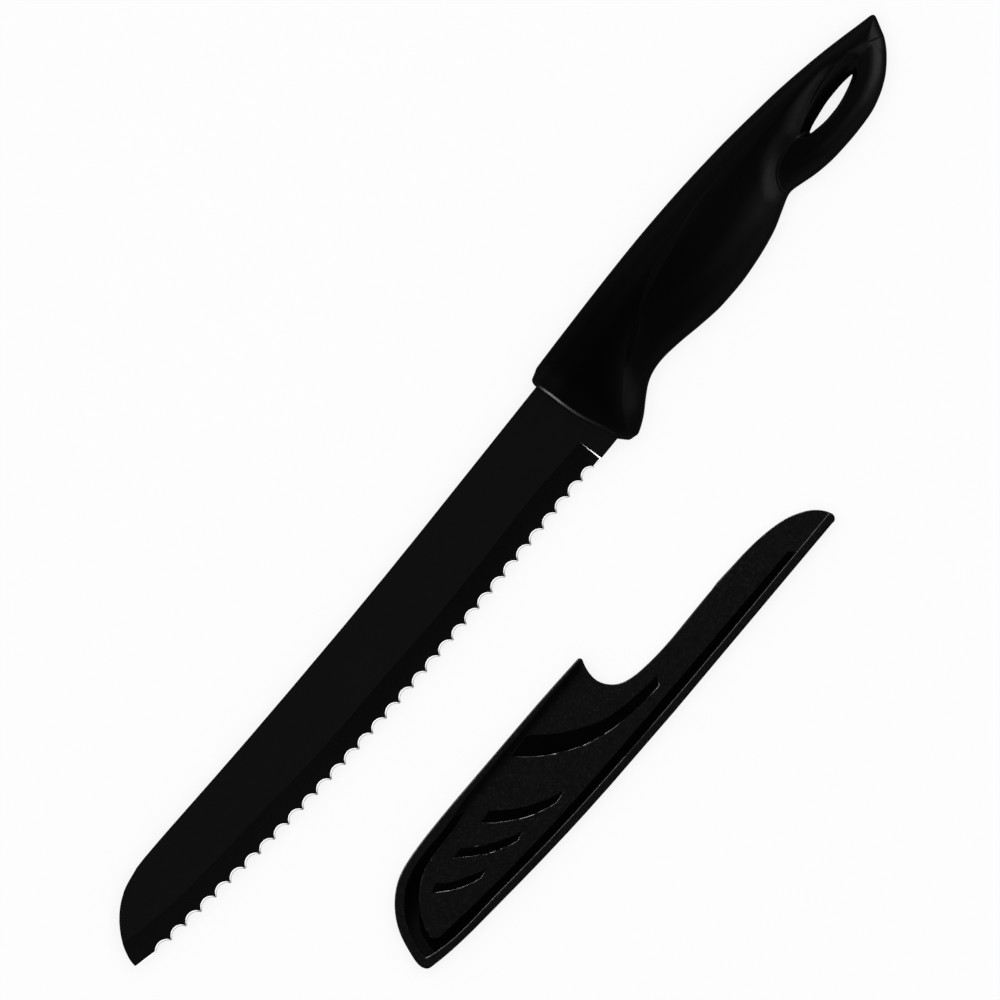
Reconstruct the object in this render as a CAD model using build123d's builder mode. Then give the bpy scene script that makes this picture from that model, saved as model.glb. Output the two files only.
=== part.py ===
from build123d import *
import math
import os

# Serrated bread knife with a clip-on guard that lies beside it.
# Millimetres, +Z up.  +X runs from the blade tip to the butt of the handle,
# +Y from the cutting edge to the spine.  The knife lies on its side with the
# handle touching z = 0; the guard lies on its back face at z = 0.
# Front means the +Z side of a piece and back the -Z side.
# The outlines below are drawn with the blade tip at (0, 0); the drawing is
# then shifted so the frame's origin is the middle of the footprint.

# ------------------------------------------------------------------- overall
LENGTH = 343.32          # tip to butt
Y_MAX = 21.00            # spine side of the handle
Y_MIN = -73.59           # edge wall of the guard
CENTRE_X = LENGTH / 2
CENTRE_Y = (Y_MAX + Y_MIN) / 2
HANDLE_HALF = 7.8        # half the handle's greatest thickness
KNIFE_MID = HANDLE_HALF  # height of the knife's middle plane

# --------------------------------------------------------------------- blade
BLADE_HALF = 0.8         # half the blade's thickness
SHOULDER_X = 199.9       # where the flats of the blade end, at the handle
SHOULDER_Y = 16.4        # the spine there
HEEL_Y = -10.88          # the edge side there

# hollow bevels
EDGE_HALF = 0.15         # half the thickness left at the edge line
BEVEL_RISE = BLADE_HALF - EDGE_HALF
HOLLOW = 0.11            # how far the bevel is hollowed at its middle
BEVEL_X = [-6.0, 12.0, 27.6, 54.0, 80.1, 108.0, 135.4, 160.0, 180.0]
EDGE_Y_BEFORE_TIP = 1.2  # edge line used for the station in front of the tip
TOP_OVERRUN = 0.3        # the cut runs on past the grind line, along its slope
EDGE_OVERRUN = 2.0       # the cut runs on past the edge, in y
EDGE_SINK = 0.6          # times the slope: how far it sinks on the way
BEVEL_CUT_Z = 2.5        # outer limit of the bevel cut
PLUNGE_X = 195.8         # where the bevel stops
PLUNGE_RUN = 0.6         # length of the ramp up to the flat there
PLUNGE_CUT_Z = 3.5       # outer limit of the ramp cut

# teeth
TOOTH_PITCH = 5.8425
TOOTH_DEPTH = 1.68       # scallop depth over one pitch
FIRST_DEPTH_RATIO = 0.8  # the scallop nearest the tip is shallower
TIP_END_X = 6.84         # end of the plain tip, the first tooth tip
TOOTH_FIRST = 12.40      # first of the tooth tips at the full pitch
TOOTH_COUNT = 31         # tooth tips at the full pitch
TOOTH_LAST = 193.0       # last tooth tip
LAND = 0.50              # how far the blank reaches out past the edge line
SCALLOP_FLARE = 1.30     # growth of a scallop's radius per mm of height
SCALLOP_HALF = 0.24      # height of the edge line above the middle plane

# section of the ground facet beside the teeth: (across the edge, height)
FACET = [(-3.0, SCALLOP_HALF - 3.0 / SCALLOP_FLARE),
         (1.0, SCALLOP_HALF + 1.0 / SCALLOP_FLARE),
         (1.0, 3.0), (-3.0, 3.0)]
TIP_FACET_LEAD = 1.5     # the tip's facet cut starts this far before the tip
TIP_FACET_LAP = 0.1      # and runs this far past the first tooth tip
HEEL_FACET_LAP = 0.05    # overlap of the heel's facet cut with the last scallop

# outlines, (x, y)
TIP_CURVE = [(0, 0), (0.22, 1.5), (1.14, 3.98), (2.28, 6.1), (3.7, 8.05),
             (5.7, 10.3), (8.55, 12.75), (11.4, 14.55), (14.25, 15.83),
             (17.1, 16.62), (21.4, 17.3), (25.65, 17.5)]
SPINE = [(25.65, 17.5), (31.35, 17.4), (48.45, 16.84), (71.25, 16.15),
         (99.75, 15.66), (128.25, 15.5), (156.75, 15.76), (185.25, 16.2),
         (SHOULDER_X, SHOULDER_Y)]
# line through the tooth tips
EDGE_LINE = [(0.0, 0.0), (TIP_END_X, -1.6), (TOOTH_FIRST, -2.9), (23.8, -4.3),
             (35.5, -5.55), (47.0, -6.9), (58.85, -7.9), (70.3, -8.7),
             (81.9, -9.4), (93.9, -9.9), (105.5, -10.35), (117.1, -10.6),
             (128.8, -10.7), (146.4, -10.7), (164.0, -10.58), (181.8, -10.4),
             (187.66, -10.4), (TOOTH_LAST, -10.42), (PLUNGE_X, -10.7)]
# line where the bevels meet the flats
GRIND_LINE = [(-6.0, 8.2), (4.0, 5.6), (27.6, 2.1), (80.1, -2.0),
              (135.4, -3.4), (186.1, -2.6), (PLUNGE_X, -3.2)]

# ---------------------------------------------------------------------- tang
TANG_HALF = 0.75         # half the tang's thickness
FIT = 0.05               # gap between tang and handle
LOCK_D = 5.0             # lock holes in the tang
LOCK_POST_D = 4.9        # posts of the handle that fill them
LOCK_HOLES = [(222.0, 7.0), (262.0, 6.8)]
POCKET_X = 196.0         # the pocket's cut starts here, clear of the handle
# the tang inside the handle, from the spine side round to the edge side
TANG_INNER = [(205.5, SHOULDER_Y), (208.5, 14.2), (231.0, 13.4), (262.0, 12.2),
              (280.0, 10.8), (283.0, 8.4), (283.0, 6.4), (280.0, 4.2),
              (262.0, 1.6), (240.0, 0.2), (226.0, 0.2), (214.0, -1.6),
              (208.5, -5.4), (205.5, HEEL_Y)]

# -------------------------------------------------------------------- handle
# stations: x, lower y, upper y, half thickness
HANDLE_STATIONS = [
    (198.6, -14.75, 19.25, 6.70), (205.0, -14.75, 19.75, 7.35),
    (209.0, -14.30, 19.92, 7.50), (213.5, -12.55, 20.10, 7.50),
    (217.5, -9.95, 20.25, 7.30), (221.5, -7.65, 20.38, 7.10),
    (226.2, -6.45, 20.53, 7.00), (231.4, -6.50, 20.66, 7.05),
    (240.0, -8.25, 20.84, 7.35), (250.0, -9.66, 20.93, 7.70),
    (259.5, -10.00, 20.82, 7.796), (268.5, -9.40, 20.55, 7.62),
    (278.0, -7.65, 20.05, 7.15), (284.0, -5.65, 19.63, 6.75),
    (288.5, -4.50, 19.22, 6.50), (293.0, -5.25, 18.78, 6.35),
    (298.5, -6.90, 18.20, 6.25), (305.0, -7.90, 17.40, 6.15),
    (313.5, -8.22, 16.15, 5.90), (321.0, -7.85, 14.85, 5.45),
    (327.5, -6.20, 13.55, 4.85), (332.3, -4.10, 12.55, 4.30),
    (336.2, -1.10, 11.60, 3.70), (340.0, 3.00, 10.60, 2.90),
    (LENGTH, 7.60, 9.75, 1.70)]
SQUARENESS = 2.7         # superellipse exponent of the sections
RING_POINTS = 16         # points round each section
# the handle's blade end, from the spine side to the edge side
BLADE_END = [(203.4, 21.5), (202.6, 19.62), (201.4, 19.22), (200.6, 18.45),
             (200.12, 16.85), (200.45, 12.0), (200.55, 6.6), (201.2, 0.7),
             (202.3, -3.9), (203.1, -6.9), (203.2, -9.5), (203.3, -10.85),
             (203.85, -11.6), (204.75, -12.9), (205.6, -14.15), (207.3, -14.75),
             (208.3, -16.5)]
HANG_HOLE_UPPER = [(305.4, 2.05), (310.58, 3.28), (315.77, 3.97), (320.93, 3.96),
                   (326.1, 3.2)]
HANG_HOLE_LOWER = [(326.1, 3.2), (322.02, 1.75), (315.83, 0.75), (310.58, 0.86),
                   (305.4, 2.05)]
HANDLE_CUT_Z = -1        # cuts through the handle start below it
THROUGH = 20             # height of a cut through a whole piece

# --------------------------------------------------------------------- guard
GUARD_HALF = 3.8         # half the guard's thickness over the rims
FACE_HALF = 3.4          # half its thickness over the faces
GUARD_MID = GUARD_HALF   # height of the guard's parting plane
GROOVE_DEPTH = 0.6       # sunk line inside the rim
CHANNEL_DEPTH = 1.1      # its deeper channel beside the face
FACE_CUT = 2             # heights of the cuts, enough to clear the surface
GROOVE_CUT = 4
WINDOW_CUT = 5

# cavity for the blade; its section is even, then opens towards the mouth
CAVITY_HALF = 0.95       # half its width beside the cutting edge
MOUTH_SLOPE = 0.070      # growth of the half width per mm of y
CAVITY_LOW_Y = -72.3     # the section reaches down past the cavity's edge
FLARE_Y = -64.0          # where it starts to open
MOUTH_Y = -36.0          # beyond the mouth
CAVITY_X0 = 40.0         # the cut spans the guard's whole length
CAVITY_X1 = 240.0
CAVITY_CUT_Z = -5

# outlines, (x, y)
GUARD_EDGE = [(53.4, -65.5), (59.33, -66.72), (78.29, -68.9), (96.0, -70.4),
              (113.56, -71.55), (135.0, -72.35), (156.78, -72.85),
              (190.0, -73.25), (223.6, -73.46)]
GUARD_HEEL = [(223.6, -73.46), (225.2, -73.2), (225.72, -72.35), (225.55, -70.9),
              (224.75, -69.1), (223.3, -67.1), (220.15, -64.55), (216.4, -62.6),
              (212.0, -61.25), (205.8, -60.1), (193.6, -59.25), (180.0, -59.05),
              (165.0, -58.95), (157.5, -58.2), (152.6, -57.1), (149.2, -55.25),
              (147.3, -52.9), (146.4, -50.2), (146.75, -46.8), (148.5, -43.0)]
# spine side and round the tip
GUARD_SPINE = [(148.0, -42.1), (130.0, -41.35), (105.0, -40.85), (82.0, -40.68),
               (74.0, -41.05), (66.84, -42.35), (61.9, -44.95), (57.74, -48.75),
               (55.2, -52.3), (53.5, -55.9), (52.2, -59.51), (51.52, -62.75),
               (51.85, -64.3), (53.4, -65.5)]
# inner border of the raised rim: round the tip, then along the edge side
RIM_TIP = [(96.0, -42.55), (90.0, -43.2), (85.19, -43.5), (78.45, -43.3),
           (72.63, -43.75), (68.4, -44.75), (64.4, -46.75),
           (61.4, -49.1), (58.6, -52.2), (56.5, -55.6), (54.9, -59.2),
           (54.35, -62.0)]
RIM_EDGE = [(54.35, -62.6), (59.3, -64.25), (78.3, -66.45), (96.0, -67.95),
            (113.6, -69.1), (135.0, -69.95), (156.8, -70.45),
            (190.0, -70.75), (228.0, -70.95)]
# inner border of the groove: round the tip, then along the edge side
GROOVE_TIP = [(93.9, -44.6), (86.06, -45.5), (78.32, -45.75), (73.43, -46.5),
              (69.23, -48.35), (65.5, -51.15), (62.6, -54.3), (60.6, -57.6),
              (59.7, -60.3)]
GROOVE_EDGE = [(61.0, -61.75), (75.86, -63.7), (93.2, -65.4),
               (113.6, -66.75), (135.5, -67.5), (156.0, -67.95),
               (190.0, -68.45), (209.3, -68.85)]
# outer border of the channel at the tip; it runs in under the raised face,
# so the channel starts as a point
CHANNEL_TIP = [(67.6, -51.3), (62.3, -53.9), (59.4, -56.9), (57.75, -60.3),
               (57.2, -63.35)]
CAVITY_EDGE = [(CAVITY_X0, -60.6), (54.0, -62.0), (60.8, -63.5), (66.4, -64.6),
               (77.8, -66.0), (89.5, -67.2), (101.0, -68.6), (113.0, -69.5),
               (124.3, -70.2), (136.0, -70.75), (148.0, -71.15),
               (160.0, -71.42), (171.0, -71.58), (183.0, -71.68),
               (218.0, -71.75), (CAVITY_X1, -71.75)]
# the four windows, largest first: upper border, then lower border
WINDOWS = [
    ([(121.5, -44.6), (124.0, -47.2), (127.5, -50.8), (131.2, -53.8),
      (135.39, -56.75), (140.82, -59.3), (147.44, -60.95), (153.49, -61.9),
      (158.2, -62.4)],
     [(156.6, -64.6), (149.26, -64.15), (142.08, -63.0), (135.45, -61.2),
      (129.68, -58.75), (124.67, -55.6), (119.14, -50.9), (114.4, -45.0)]),
    ([(98.1, -49.75), (101.79, -53.8), (106.74, -57.9), (111.74, -60.9),
      (115.6, -62.7)],
     [(112.48, -63.2), (108.3, -61.75), (104.0, -59.4), (99.0, -55.6),
      (94.4, -50.6)]),
    ([(84.6, -50.4), (88.4, -54.0), (93.03, -57.35), (97.0, -59.8),
      (99.5, -60.95)],
     [(96.9, -61.55), (93.5, -60.2), (89.3, -57.8), (85.4, -54.6),
      (81.8, -51.0)]),
    ([(72.5, -51.4), (75.5, -54.4), (79.5, -57.0), (82.6, -58.8),
      (84.6, -59.8)],
     [(82.0, -60.2), (79.0, -59.0), (75.6, -57.2), (72.5, -54.6),
      (69.9, -52.3)]),
]


# ------------------------------------------------------------------- helpers
def at(z):
    """Horizontal drawing plane at height z, with the blade tip at (0, 0)."""
    return Plane(origin=(-CENTRE_X, -CENTRE_Y, z))


def across(x, y=0.0, z=KNIFE_MID):
    """Upright plane facing +X at x; drawn as (distance from y, height over z)."""
    return Plane(origin=(x - CENTRE_X, y - CENTRE_Y, z), x_dir=(0, 1, 0),
                 z_dir=(1, 0, 0))


def interp(table, x):
    """Straight-line reading of a table of (x, y)."""
    for (x0, y0), (x1, y1) in zip(table, table[1:]):
        if x <= x1:
            return y0 + (y1 - y0) * (x - x0) / (x1 - x0)
    return table[-1][1]


def export(part, name):
    part.label = name
    export_step(part, f"parts/{name}.step")


# --------------------------------------------------------------------- blade
def bevel_arc(x, side):
    """Start, middle and end of the hollow bevel's arc in the section at x."""
    grind_y = interp(GRIND_LINE, x)
    edge_y = EDGE_Y_BEFORE_TIP if x < 0 else interp(EDGE_LINE, x)
    slope = BEVEL_RISE / (grind_y - edge_y)
    top = (grind_y + TOP_OVERRUN, side * (BLADE_HALF + TOP_OVERRUN * slope))
    middle = ((grind_y + edge_y) / 2, side * ((BLADE_HALF + EDGE_HALF) / 2 - HOLLOW))
    low = (edge_y - EDGE_OVERRUN, side * (EDGE_HALF - EDGE_SINK * slope))
    return top, middle, low


def scallop(start, end):
    """Centre and radius of the circle through two tooth tips on the edge line."""
    (x0, y0), (x1, y1) = start, end
    chord = math.hypot(x1 - x0, y1 - y0)
    ratio = FIRST_DEPTH_RATIO if x0 == TIP_END_X else 1.0
    depth = TOOTH_DEPTH * ratio * chord / TOOTH_PITCH
    radius = chord * chord / (8 * depth) + depth / 2
    normal_x, normal_y = (y0 - y1) / chord, (x1 - x0) / chord
    return ((x0 + x1) / 2 + normal_x * (depth - radius),
            (y0 + y1) / 2 + normal_y * (depth - radius), radius)


def make_blade():
    tip_xs = [TIP_END_X]
    tip_xs += [TOOTH_FIRST + TOOTH_PITCH * i for i in range(TOOTH_COUNT)]
    tip_xs += [TOOTH_LAST]
    tooth_tips = [(x, interp(EDGE_LINE, x)) for x in tip_xs]
    blank_edge = [(0.0, 0.0), (0.6, -LAND * 0.75)]
    blank_edge += [(x, y - LAND) for x, y in tooth_tips]
    blank_edge += [(PLUNGE_X, HEEL_Y), (SHOULDER_X, HEEL_Y)]

    with BuildPart() as blade:
        # flat bar with the outline of the blade
        with BuildSketch(at(KNIFE_MID - BLADE_HALF)):
            with BuildLine():
                Spline(*TIP_CURVE, tangents=[(0.05, 1), (1, 0.02)])
                Spline(*SPINE)
                Line(SPINE[-1], (SHOULDER_X, HEEL_Y))
                Polyline(*blank_edge)
            make_face()
        extrude(amount=2 * BLADE_HALF)

        for side in (1, -1):
            # hollow bevel
            for x in BEVEL_X + [PLUNGE_X]:
                top, middle, low = bevel_arc(x, side)
                with BuildSketch(across(x)):
                    with BuildLine():
                        ThreePointArc(top, middle, low)
                        Polyline(low, (low[0], side * BEVEL_CUT_Z),
                                 (top[0], side * BEVEL_CUT_Z), top)
                    make_face()
            loft(mode=Mode.SUBTRACT)
            # ramp from the end of the bevel up to the flat
            top, middle, low = bevel_arc(PLUNGE_X, side)
            for x, lift in ((PLUNGE_X, 0.0),
                            (PLUNGE_X + PLUNGE_RUN, side * BEVEL_RISE)):
                with BuildSketch(across(x)):
                    with BuildLine():
                        Polyline((top[0], top[1] + lift), (low[0], low[1] + lift),
                                 (low[0], side * PLUNGE_CUT_Z),
                                 (top[0], side * PLUNGE_CUT_Z), close=True)
                    make_face()
            loft(ruled=True, mode=Mode.SUBTRACT)

        # scallops: each is a cone, wider towards the front face, that meets
        # the tooth tips at SCALLOP_HALF above the middle plane
        for start, end in zip(tooth_tips, tooth_tips[1:]):
            x, y, radius = scallop(start, end)
            back_radius = radius - SCALLOP_FLARE * (BLADE_HALF + SCALLOP_HALF)
            with Locations((x - CENTRE_X, y - CENTRE_Y, KNIFE_MID - BLADE_HALF)):
                Cone(back_radius, back_radius + SCALLOP_FLARE * 2 * BLADE_HALF,
                     2 * BLADE_HALF, align=(Align.CENTER, Align.CENTER, Align.MIN),
                     mode=Mode.SUBTRACT)

        # the plain tip is ground with the same facet
        end_x, end_y = tooth_tips[0]
        run = math.hypot(end_x, end_y)
        along_x, along_y = end_x / run, end_y / run
        with BuildSketch(Plane(origin=(-TIP_FACET_LEAD * along_x - CENTRE_X,
                                       -TIP_FACET_LEAD * along_y - CENTRE_Y, KNIFE_MID),
                               x_dir=(-along_y, along_x, 0),
                               z_dir=(along_x, along_y, 0))):
            with BuildLine():
                Polyline(*FACET, close=True)
            make_face()
        extrude(amount=run + TIP_FACET_LEAD + TIP_FACET_LAP, mode=Mode.SUBTRACT)

        # and so is the short stretch between the last scallop and the plunge line
        with BuildSketch(across(TOOTH_LAST - HEEL_FACET_LAP, HEEL_Y + LAND)):
            with BuildLine():
                Polyline(*FACET, close=True)
            make_face()
        extrude(amount=PLUNGE_X + HEEL_FACET_LAP - TOOTH_LAST, mode=Mode.SUBTRACT)

        # tang, a little thinner, inside the handle
        with BuildSketch(at(KNIFE_MID - TANG_HALF)):
            with BuildLine():
                Polyline((SHOULDER_X, SHOULDER_Y), *TANG_INNER, (SHOULDER_X, HEEL_Y),
                         close=True)
            make_face()
            with Locations(*LOCK_HOLES):
                Circle(LOCK_D / 2, mode=Mode.SUBTRACT)
        extrude(amount=2 * TANG_HALF)
    return blade.part


# -------------------------------------------------------------------- handle
def handle_ring(lower_y, upper_y, half_thickness):
    """Points round a superellipse section of the handle."""
    centre_y, half_width = (lower_y + upper_y) / 2, (upper_y - lower_y) / 2
    power = 2 / SQUARENESS
    ring = []
    for k in range(RING_POINTS):
        angle = 2 * math.pi * k / RING_POINTS
        cosine, sine = math.cos(angle), math.sin(angle)
        ring.append((centre_y + half_width * math.copysign(abs(cosine) ** power, cosine),
                     half_thickness * math.copysign(abs(sine) ** power, sine)))
    return ring


def make_handle():
    with BuildPart() as handle:
        for x, lower_y, upper_y, half_thickness in HANDLE_STATIONS:
            with BuildSketch(across(x)):
                with BuildLine():
                    Spline(*handle_ring(lower_y, upper_y, half_thickness), periodic=True)
                make_face()
        loft()
        # trim the blade end to its outline
        with BuildSketch(at(HANDLE_CUT_Z)):
            with BuildLine():
                Spline(*BLADE_END)
                Polyline(BLADE_END[-1], (190, -16.5), (190, 21.5), BLADE_END[0])
            make_face()
        extrude(amount=THROUGH, mode=Mode.SUBTRACT)
        # hang hole near the butt
        with BuildSketch(at(HANDLE_CUT_Z)):
            with BuildLine():
                Spline(*HANG_HOLE_UPPER)
                Spline(*HANG_HOLE_LOWER)
            make_face()
        extrude(amount=THROUGH, mode=Mode.SUBTRACT)
        # pocket for the tang; the posts left standing fill the lock holes
        with BuildSketch(at(KNIFE_MID - TANG_HALF - FIT)):
            with BuildLine():
                Polyline((POCKET_X, SHOULDER_Y), *TANG_INNER, (POCKET_X, HEEL_Y),
                         close=True)
            make_face()
            offset(amount=FIT)
            with Locations(*LOCK_HOLES):
                Circle(LOCK_POST_D / 2, mode=Mode.SUBTRACT)
        extrude(amount=2 * (TANG_HALF + FIT), mode=Mode.SUBTRACT)
    return handle.part


# --------------------------------------------------------------------- guard
# The outline functions draw into the BuildLine block that calls them.
def guard_outline():
    Spline(*GUARD_EDGE)
    Spline(*GUARD_HEEL)
    Line(GUARD_HEEL[-1], GUARD_SPINE[0])
    Spline(*GUARD_SPINE)


def field_outline():
    """All of the face inside the rim; the rim itself is left standing."""
    Spline(*RIM_TIP)
    Line(RIM_TIP[-1], RIM_EDGE[0])
    Spline(*RIM_EDGE)
    Polyline(RIM_EDGE[-1], (228.0, -38.0), (149.2, -38.0), (147.2, -42.95), RIM_TIP[0])


def raised_face_outline():
    """The face inside the groove, run out past the rim where the groove ends."""
    Polyline((86.1, -41.8), GROOVE_TIP[0])
    Spline(*GROOVE_TIP)
    Line(GROOVE_TIP[-1], GROOVE_EDGE[0])
    Spline(*GROOVE_EDGE)
    Polyline(GROOVE_EDGE[-1], (212.7, -72.9), (245.0, -72.9), (245.0, -30.0),
             (86.1, -30.0), (86.1, -41.8))


def shallow_outline():
    """The part of the groove at the tip that stays at the lesser depth."""
    Spline(*CHANNEL_TIP)
    Polyline(CHANNEL_TIP[-1], (57.0, -67.0), (40.0, -67.0), (40.0, -30.0),
             (110.0, -30.0), (110.0, -51.3), CHANNEL_TIP[0])


# depth of each cut, and the parts of the field it leaves alone
GROOVE_CUTS = [(GROOVE_DEPTH, [raised_face_outline]),
               (CHANNEL_DEPTH, [raised_face_outline, shallow_outline])]


def slab_plane(side, inner, height):
    """Underside of a slab that starts `inner` away from the parting plane."""
    return at(GUARD_MID + inner if side > 0 else GUARD_MID - inner - height)


def make_cavity():
    """The space the blade slides into: open at the spine, the tip and the heel."""
    half_mouth = CAVITY_HALF + MOUTH_SLOPE * (MOUTH_Y - FLARE_Y)
    with BuildPart() as cavity:
        with BuildSketch(across(CAVITY_X0, z=GUARD_MID)):
            with BuildLine():
                Polyline((CAVITY_LOW_Y, -CAVITY_HALF), (FLARE_Y, -CAVITY_HALF),
                         (MOUTH_Y, -half_mouth), (MOUTH_Y, half_mouth),
                         (FLARE_Y, CAVITY_HALF), (CAVITY_LOW_Y, CAVITY_HALF),
                         close=True)
            make_face()
        extrude(amount=CAVITY_X1 - CAVITY_X0)
        with BuildSketch(at(CAVITY_CUT_Z)):
            with BuildLine():
                Spline(*CAVITY_EDGE)
                Polyline(CAVITY_EDGE[-1], (CAVITY_X1, -30.0), (CAVITY_X0, -30.0),
                         CAVITY_EDGE[0])
            make_face()
        extrude(amount=THROUGH, mode=Mode.INTERSECT)
    return cavity.part


def make_guard_shell(side, windows, cavity):
    """Half of the guard: side 1 is the front half, -1 the back half."""
    with BuildPart() as shell:
        with BuildSketch(slab_plane(side, 0, GUARD_HALF)):
            with BuildLine():
                guard_outline()
            make_face()
        extrude(amount=GUARD_HALF)
        # sink the field below the rim
        with BuildSketch(slab_plane(side, FACE_HALF, FACE_CUT)):
            with BuildLine():
                field_outline()
            make_face()
        extrude(amount=FACE_CUT, mode=Mode.SUBTRACT)
        # groove round the raised face, then its deeper channel
        for depth, kept in GROOVE_CUTS:
            with BuildSketch(slab_plane(side, FACE_HALF - depth, GROOVE_CUT)):
                with BuildLine():
                    field_outline()
                make_face()
                for outline in kept:
                    with BuildLine():
                        outline()
                    make_face(mode=Mode.SUBTRACT)
            extrude(amount=GROOVE_CUT, mode=Mode.SUBTRACT)
        if windows:
            with BuildSketch(slab_plane(side, 0, WINDOW_CUT)):
                for upper, lower in windows:
                    with BuildLine():
                        Spline(*upper)
                        Line(upper[-1], lower[0])
                        Spline(*lower)
                        Line(lower[-1], upper[0])
                    make_face()
            extrude(amount=WINDOW_CUT, mode=Mode.SUBTRACT)
        add(cavity, mode=Mode.SUBTRACT)
    return shell.part


os.makedirs("parts", exist_ok=True)
export(make_blade(), "blade")
export(make_handle(), "handle")
blade_cavity = make_cavity()
export(make_guard_shell(1, WINDOWS, blade_cavity), "guard_front_shell")
export(make_guard_shell(-1, [], blade_cavity), "guard_back_shell")
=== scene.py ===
"""A kitchen knife with a clip-on blade guard, lying flat on a pale floor.

The knife and the guard lie in the row frame (metres, +Z up).  The shapes here are
given in the drawing's frame, in millimetres: the blade tip at (0, 0), +x towards
the butt of the handle, +y towards the spine.
"""
import math

import bmesh
import bpy
import numpy as np
from mathutils import Matrix, Vector


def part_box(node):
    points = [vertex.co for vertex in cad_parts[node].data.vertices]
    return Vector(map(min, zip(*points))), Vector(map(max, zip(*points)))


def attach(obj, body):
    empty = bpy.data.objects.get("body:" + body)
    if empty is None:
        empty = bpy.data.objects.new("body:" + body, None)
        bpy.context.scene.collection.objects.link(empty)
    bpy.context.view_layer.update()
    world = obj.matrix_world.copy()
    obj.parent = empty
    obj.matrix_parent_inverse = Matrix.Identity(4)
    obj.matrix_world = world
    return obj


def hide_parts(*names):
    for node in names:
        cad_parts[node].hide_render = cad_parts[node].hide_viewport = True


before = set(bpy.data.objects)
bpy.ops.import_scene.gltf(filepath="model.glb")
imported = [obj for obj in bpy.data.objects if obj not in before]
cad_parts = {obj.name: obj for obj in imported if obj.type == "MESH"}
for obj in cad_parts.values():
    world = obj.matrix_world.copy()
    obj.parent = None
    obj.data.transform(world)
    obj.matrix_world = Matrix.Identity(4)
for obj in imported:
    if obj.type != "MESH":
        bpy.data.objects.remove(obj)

scene = bpy.context.scene

# --------------------------------------------------------------------------
# Where the drawing lies in the row frame (mm)
# --------------------------------------------------------------------------
GUARD_REACH = 73.59            # the guard's lowest y lies this far below the blade tip

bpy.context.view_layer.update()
blade_low, blade_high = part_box("blade")
guard_low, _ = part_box("guard_front_shell")
ORIGIN_X = blade_low.x * 1000.0
ORIGIN_Y = guard_low.y * 1000.0 + GUARD_REACH
BLADE_MID_Z = (blade_low.z + blade_high.z) * 500.0
PARTING_Z = guard_low.z * 1000.0     # plane where the two guard shells meet


def to_row(x, y, z):
    """Drawing millimetres to row-frame metres."""
    return ((x + ORIGIN_X) / 1000.0, (y + ORIGIN_Y) / 1000.0, z / 1000.0)


def add_object(name, data):
    added = bpy.data.objects.new(name, data)
    scene.collection.objects.link(added)
    return added


# --------------------------------------------------------------------------
# Curves and distances
# --------------------------------------------------------------------------
def hermite_weights(t):
    """Weights of the start, start slope, end and end slope of a cubic."""
    return (2 * t ** 3 - 3 * t ** 2 + 1, t ** 3 - 2 * t ** 2 + t,
            -2 * t ** 3 + 3 * t ** 2, t ** 3 - t ** 2)


def spline(points, step, closed=False):
    """Smooth curve through the points, sampled about every step."""
    knots = np.asarray(points, float)
    if closed:
        knots = np.vstack([knots[-1], knots, knots[0], knots[1]])
    else:
        knots = np.vstack([2 * knots[0] - knots[1], knots, 2 * knots[-1] - knots[-2]])
    pieces = []
    for i in range(1, len(knots) - 2):
        before, start, end, after = knots[i - 1:i + 3]
        gap_in, gap, gap_out = [max(np.linalg.norm(head - tail), 1e-6) ** 0.5
                                for tail, head in ((before, start), (start, end), (end, after))]
        slope_start = (end - start) + gap * ((start - before) / gap_in
                                             - (end - before) / (gap_in + gap))
        slope_end = (end - start) + gap * ((after - end) / gap_out
                                           - (after - start) / (gap + gap_out))
        count = max(2, int(np.linalg.norm(end - start) / step) + 1)
        t = np.linspace(0, 1, count, endpoint=False)[:, None]
        at_start, rise_start, at_end, rise_end = hermite_weights(t)
        pieces.append(at_start * start + rise_start * slope_start
                      + at_end * end + rise_end * slope_end)
    if not closed:
        pieces.append(knots[-2][None, :])
    return np.vstack(pieces)


def table(stations, x):
    """Smooth reading, without overshoot, of (x, value) stations."""
    places = np.array([station[0] for station in stations], float)
    values = np.array([station[1] for station in stations], float)
    rates = np.diff(values) / np.diff(places)
    slopes = np.zeros(len(places))
    slopes[0], slopes[-1] = rates[0], rates[-1]
    for i in range(1, len(places) - 1):
        if rates[i - 1] * rates[i] > 0:
            gap_in = places[i] - places[i - 1]
            gap_out = places[i + 1] - places[i]
            weight_in = 2 * gap_out + gap_in
            weight_out = gap_out + 2 * gap_in
            slopes[i] = (weight_in + weight_out) / (weight_in / rates[i - 1]
                                                    + weight_out / rates[i])
    x = np.clip(x, places[0], places[-1])
    i = np.clip(np.searchsorted(places, x, side="right") - 1, 0, len(places) - 2)
    gap = places[i + 1] - places[i]
    at_start, rise_start, at_end, rise_end = hermite_weights((x - places[i]) / gap)
    return (at_start * values[i] + rise_start * gap * slopes[i]
            + at_end * values[i + 1] + rise_end * gap * slopes[i + 1])


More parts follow.
